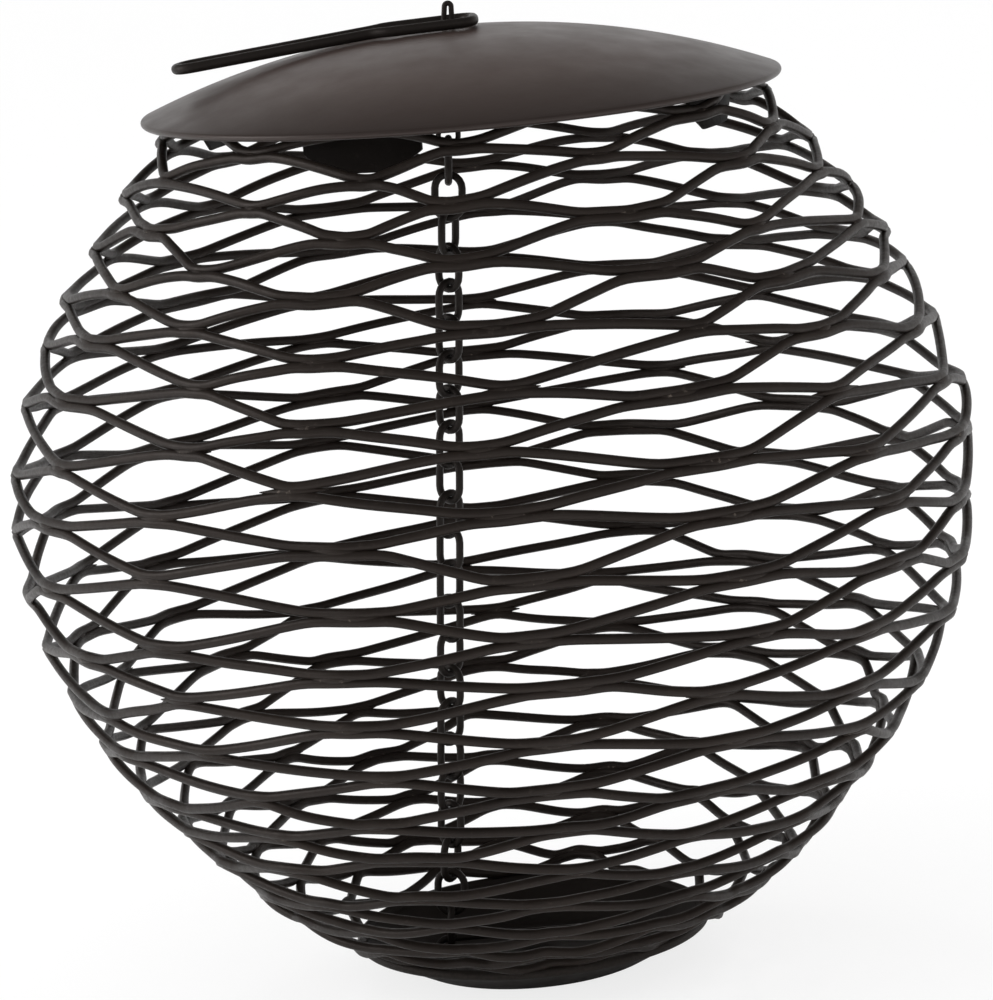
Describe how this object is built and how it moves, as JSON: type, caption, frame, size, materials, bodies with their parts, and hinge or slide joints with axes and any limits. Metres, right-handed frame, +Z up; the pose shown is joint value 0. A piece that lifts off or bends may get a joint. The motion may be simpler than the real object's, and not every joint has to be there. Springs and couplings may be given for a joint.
{
  "type": "ball bird feeder",
  "caption": "Round wire-mesh bird feeder with a shallow domed lid, a fold-flat wire hanger, an inner chain and a dish base that it stands on.",
  "frame": {"origin": "centre of the base tray's underside, on the surface that the feeder stands on", "axes": "+Z up through the lid, -Y towards the viewer; the hanger lies folded towards -X"},
  "size_m": [0.178, 0.178, 0.1794],
  "materials": {
    "mesh_wire": "satin",
    "dark_wire": "satin",
    "lid_sheet": "satin",
    "tray_sheet": "satin"
  },
  "bodies": {
    "ball": {"mesh_ring_01": "mesh_wire", "mesh_ring_02": "mesh_wire", "mesh_ring_03": "mesh_wire", "mesh_ring_04": "mesh_wire", "mesh_ring_05": "mesh_wire", "mesh_ring_06": "mesh_wire", "mesh_ring_07": "mesh_wire", "mesh_ring_08": "mesh_wire", "mesh_ring_09": "mesh_wire", "mesh_ring_10": "mesh_wire", "mesh_ring_11": "mesh_wire", "mesh_ring_12": "mesh_wire", "mesh_ring_13": "mesh_wire", "mesh_ring_14": "mesh_wire", "mesh_ring_15": "mesh_wire", "mesh_ring_16": "mesh_wire", "mesh_ring_17": "mesh_wire", "mesh_ring_18": "mesh_wire", "mesh_ring_19": "mesh_wire", "mesh_ring_20": "mesh_wire", "mesh_ring_21": "mesh_wire", "mesh_ring_22": "mesh_wire", "mesh_ring_23": "mesh_wire", "mesh_ring_24": "mesh_wire", "mesh_ring_25": "mesh_wire", "mesh_ring_26": "mesh_wire", "mesh_ring_27": "mesh_wire", "mesh_ring_28": "mesh_wire", "mesh_ring_29": "mesh_wire", "mesh_ring_30": "mesh_wire", "mesh_ring_31": "mesh_wire", "mesh_ring_32": "mesh_wire", "mesh_ring_33": "mesh_wire", "mesh_ring_34": "mesh_wire", "mesh_ring_35": "mesh_wire", "mouth_hoop": "dark_wire", "centre_eye": "dark_wire", "chain_links_side": "dark_wire", "chain_links_front": "dark_wire", "base_bridge": "dark_wire", "base_tray": "tray_sheet"},
    "lid": {"lid": "lid_sheet", "lid_tab_1": "lid_sheet", "lid_tab_2": "lid_sheet", "lid_tab_3": "lid_sheet", "lid_tab_4": "lid_sheet"},
    "hanger": {"hanger": "dark_wire"}
  },
  "joints": [
    {"name": "lid_lift", "type": "slide", "parent": "ball", "child": "lid", "axis": [0, 0, 1], "range_m": [0, 0.06]},
    {"name": "hanger_fold", "type": "hinge", "parent": "lid", "child": "hanger", "pos_m": [0.0034, 0, 0.17558], "axis": [0, 1, 0], "range_deg": [0, 180]}
  ]
}
